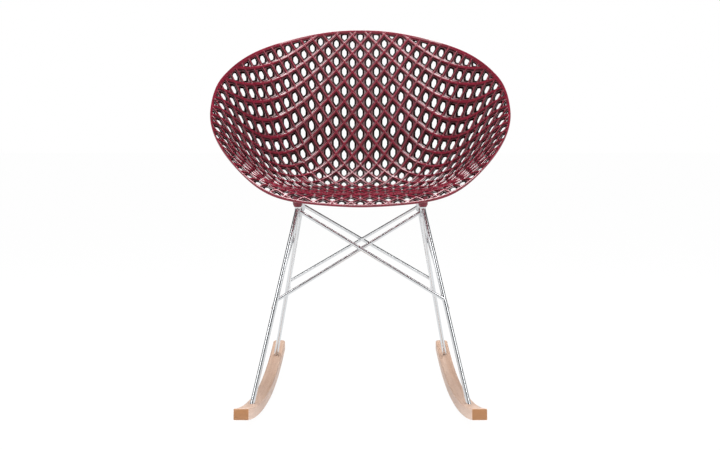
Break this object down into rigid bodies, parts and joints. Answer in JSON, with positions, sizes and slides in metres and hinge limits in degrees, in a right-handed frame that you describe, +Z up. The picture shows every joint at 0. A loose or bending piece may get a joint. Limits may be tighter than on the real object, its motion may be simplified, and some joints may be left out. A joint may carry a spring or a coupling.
{
  "type": "rocking chair",
  "caption": "Moulded plastic bucket seat pierced by a diamond lattice, on a crossed steel rod base with two curved wooden rockers.",
  "frame": {"origin": "on the floor, in the middle of the overall length and width", "axes": "+Z up, +X to the chair's left-right across (the viewer's right in front of it), -Y towards the front of the chair, so it faces -Y"},
  "size_m": [0.598, 0.8079, 0.7765],
  "materials": {
    "shell_plastic": "high-gloss moulded polypropylene, dark red",
    "insert_brass": "machined brass, moulded in",
    "base_chrome": "bright chrome plate on steel rod",
    "rocker_wood": "clear matt lacquer on pale beech",
    "screw_steel": "zinc-plated steel"
  },
  "bodies": {
    "root": {"seat_shell": "shell_plastic", "threaded_inserts_front": "insert_brass", "threaded_inserts_rear": "insert_brass", "mount_bushes_front": "base_chrome", "mount_bushes_rear": "base_chrome", "leg_front_left": "base_chrome", "leg_front_right": "base_chrome", "leg_rear_left": "base_chrome", "leg_rear_right": "base_chrome", "cross_brace_front_1": "base_chrome", "cross_brace_front_2": "base_chrome", "cross_brace_rear_1": "base_chrome", "cross_brace_rear_2": "base_chrome", "side_brace_left_1": "base_chrome", "side_brace_left_2": "base_chrome", "side_brace_right_1": "base_chrome", "side_brace_right_2": "base_chrome", "rocker_left": "rocker_wood", "rocker_right": "rocker_wood", "seat_screws": "screw_steel", "rocker_screws": "screw_steel"}
  },
  "joints": []
}
